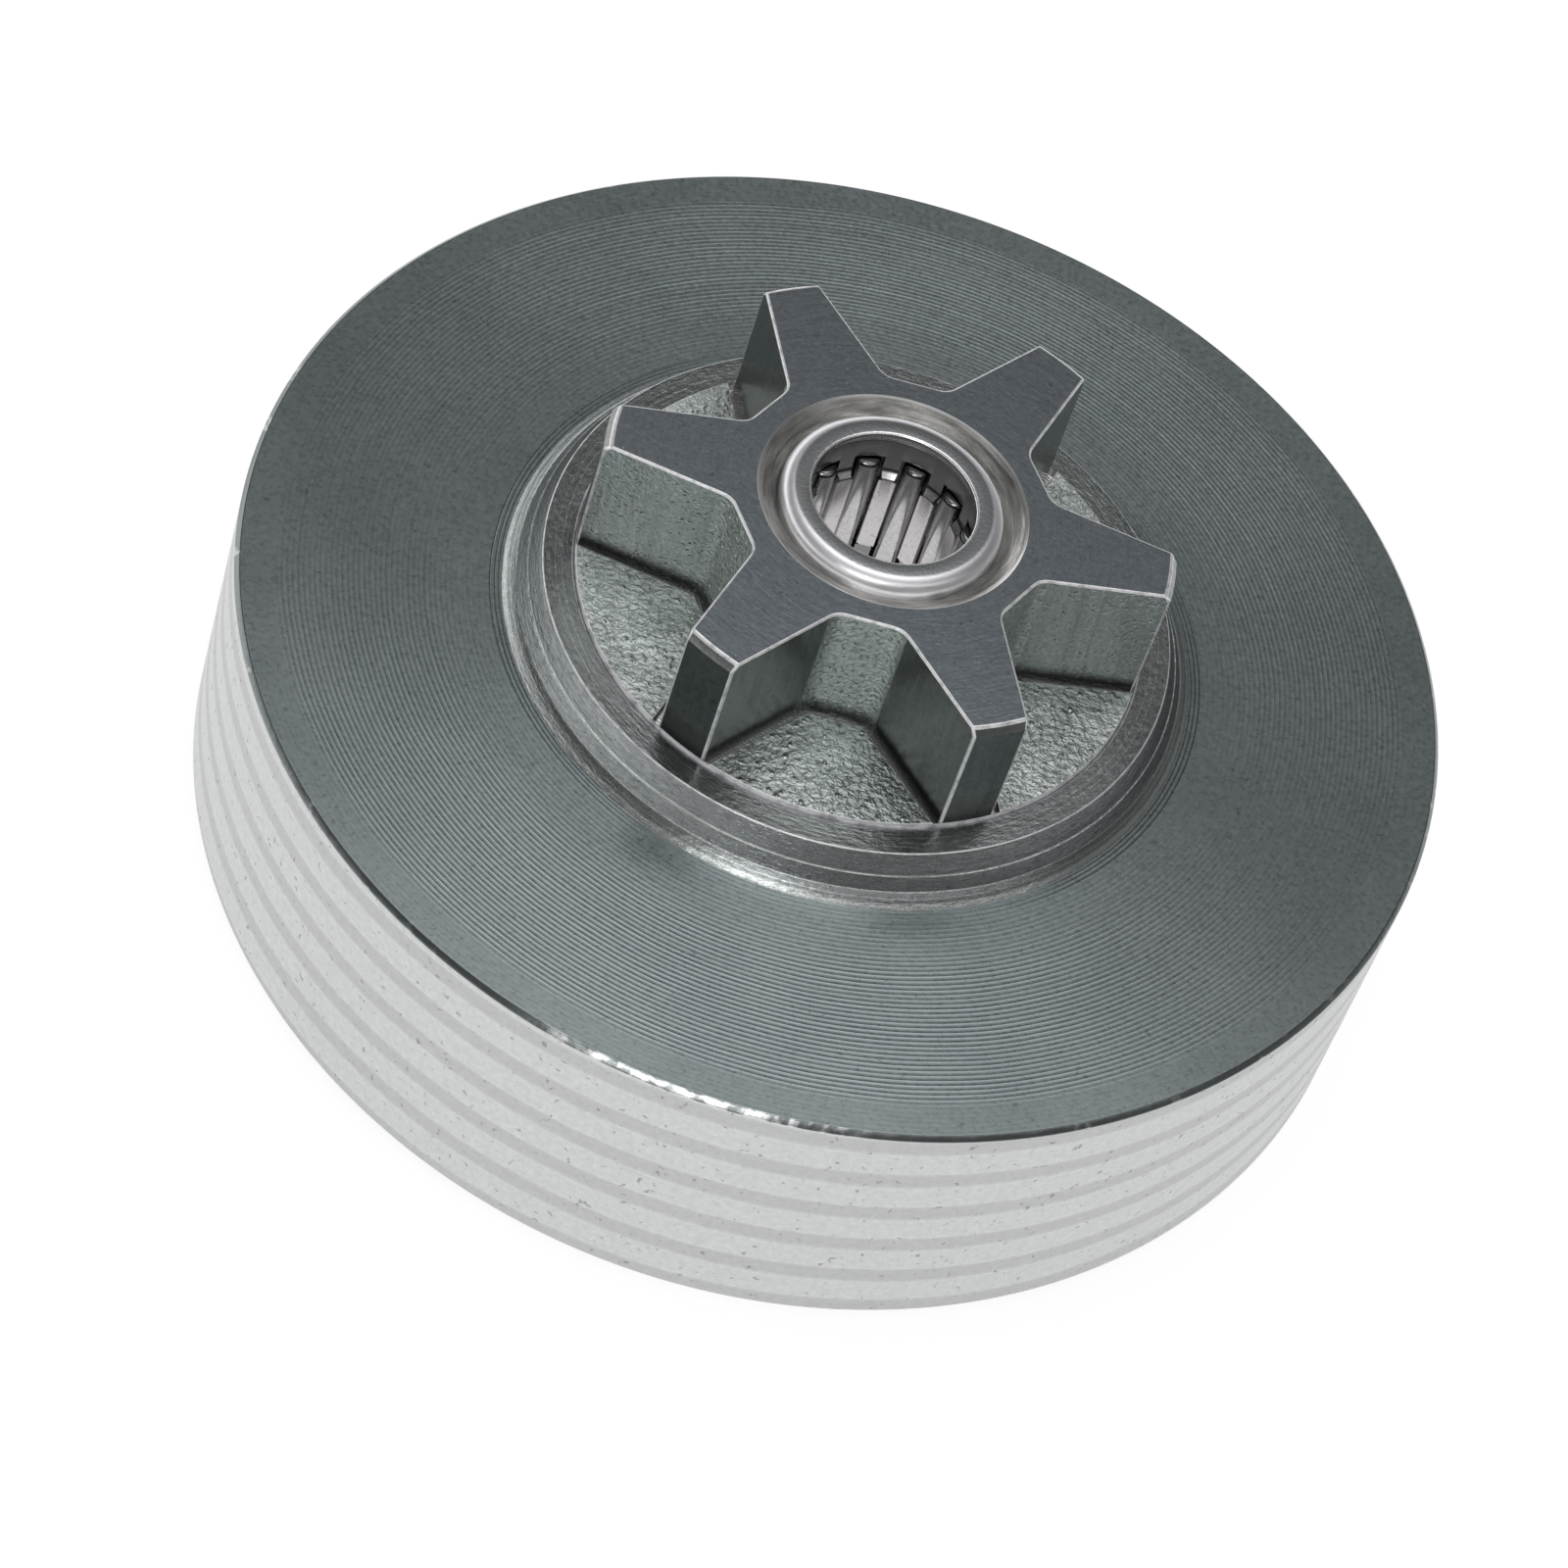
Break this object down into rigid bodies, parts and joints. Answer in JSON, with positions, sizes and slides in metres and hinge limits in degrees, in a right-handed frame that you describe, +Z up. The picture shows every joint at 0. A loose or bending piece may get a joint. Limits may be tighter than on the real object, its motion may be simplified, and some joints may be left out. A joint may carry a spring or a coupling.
{
  "type": "clutch drum with chain sprocket",
  "caption": "Open steel clutch drum with a one-piece spur sprocket on its closed face and a drawn-cup needle bearing pressed into the hub.",
  "frame": {"origin": "centre of the open rim, on the surface that the drum stands on", "axes": "+Z up along the axis of the drum, towards the sprocket; +X through the middle of one tooth"},
  "size_m": [0.066, 0.066, 0.0271],
  "materials": {
    "drum_steel": "turned steel, dark satin face and pale wall, as-forged floor between the teeth",
    "cup_steel": "drawn sheet steel, satin with a polished corner",
    "cage_steel": "pressed sheet steel, dark satin",
    "roller_steel": "ground bearing steel, bright"
  },
  "bodies": {
    "drum": {"drum_sprocket": "drum_steel", "bearing_cup": "cup_steel"},
    "cage": {"bearing_cage": "cage_steel"},
    "roller_01": {"needle_roller_01": "roller_steel"},
    "roller_02": {"needle_roller_02": "roller_steel"},
    "roller_03": {"needle_roller_03": "roller_steel"},
    "roller_04": {"needle_roller_04": "roller_steel"},
    "roller_05": {"needle_roller_05": "roller_steel"},
    "roller_06": {"needle_roller_06": "roller_steel"},
    "roller_07": {"needle_roller_07": "roller_steel"},
    "roller_08": {"needle_roller_08": "roller_steel"},
    "roller_09": {"needle_roller_09": "roller_steel"},
    "roller_10": {"needle_roller_10": "roller_steel"},
    "roller_11": {"needle_roller_11": "roller_steel"}
  },
  "joints": [
    {"name": "cage_turn", "type": "hinge", "parent": "drum", "child": "cage", "pos_m": [0, 0, 0.0211], "axis": [0, 0, 1], "continuous": true},
    {"name": "roller_01_spin", "type": "hinge", "parent": "cage", "child": "roller_01", "pos_m": [0.0047, 0.0009, 0.0211], "axis": [0, 0, 1], "continuous": true},
    {"name": "roller_02_spin", "type": "hinge", "parent": "cage", "child": "roller_02", "pos_m": [0.00347, 0.00329, 0.0211], "axis": [0, 0, 1], "continuous": true},
    {"name": "roller_03_spin", "type": "hinge", "parent": "cage", "child": "roller_03", "pos_m": [0.00114, 0.00464, 0.0211], "axis": [0, 0, 1], "continuous": true},
    {"name": "roller_04_spin", "type": "hinge", "parent": "cage", "child": "roller_04", "pos_m": [-0.00155, 0.00452, 0.0211], "axis": [0, 0, 1], "continuous": true},
    {"name": "roller_05_spin", "type": "hinge", "parent": "cage", "child": "roller_05", "pos_m": [-0.00375, 0.00296, 0.0211], "axis": [0, 0, 1], "continuous": true},
    {"name": "roller_06_spin", "type": "hinge", "parent": "cage", "child": "roller_06", "pos_m": [-0.00476, 0.00046, 0.0211], "axis": [0, 0, 1], "continuous": true},
    {"name": "roller_07_spin", "type": "hinge", "parent": "cage", "child": "roller_07", "pos_m": [-0.00425, -0.00218, 0.0211], "axis": [0, 0, 1], "continuous": true},
    {"name": "roller_08_spin", "type": "hinge", "parent": "cage", "child": "roller_08", "pos_m": [-0.0024, -0.00413, 0.0211], "axis": [0, 0, 1], "continuous": true},
    {"name": "roller_09_spin", "type": "hinge", "parent": "cage", "child": "roller_09", "pos_m": [0.00022, -0.00477, 0.0211], "axis": [0, 0, 1], "continuous": true},
    {"name": "roller_10_spin", "type": "hinge", "parent": "cage", "child": "roller_10", "pos_m": [0.00277, -0.0039, 0.0211], "axis": [0, 0, 1], "continuous": true},
    {"name": "roller_11_spin", "type": "hinge", "parent": "cage", "child": "roller_11", "pos_m": [0.00443, -0.00178, 0.0211], "axis": [0, 0, 1], "continuous": true}
  ],
  "couplings": [
    {"joint": "roller_01_spin", "follows": "cage_turn", "ratio": -7.4133},
    {"joint": "roller_02_spin", "follows": "cage_turn", "ratio": -7.4133},
    {"joint": "roller_03_spin", "follows": "cage_turn", "ratio": -7.4133},
    {"joint": "roller_04_spin", "follows": "cage_turn", "ratio": -7.4133},
    {"joint": "roller_05_spin", "follows": "cage_turn", "ratio": -7.4133},
    {"joint": "roller_06_spin", "follows": "cage_turn", "ratio": -7.4133},
    {"joint": "roller_07_spin", "follows": "cage_turn", "ratio": -7.4133},
    {"joint": "roller_08_spin", "follows": "cage_turn", "ratio": -7.4133},
    {"joint": "roller_09_spin", "follows": "cage_turn", "ratio": -7.4133},
    {"joint": "roller_10_spin", "follows": "cage_turn", "ratio": -7.4133},
    {"joint": "roller_11_spin", "follows": "cage_turn", "ratio": -7.4133}
  ]
}
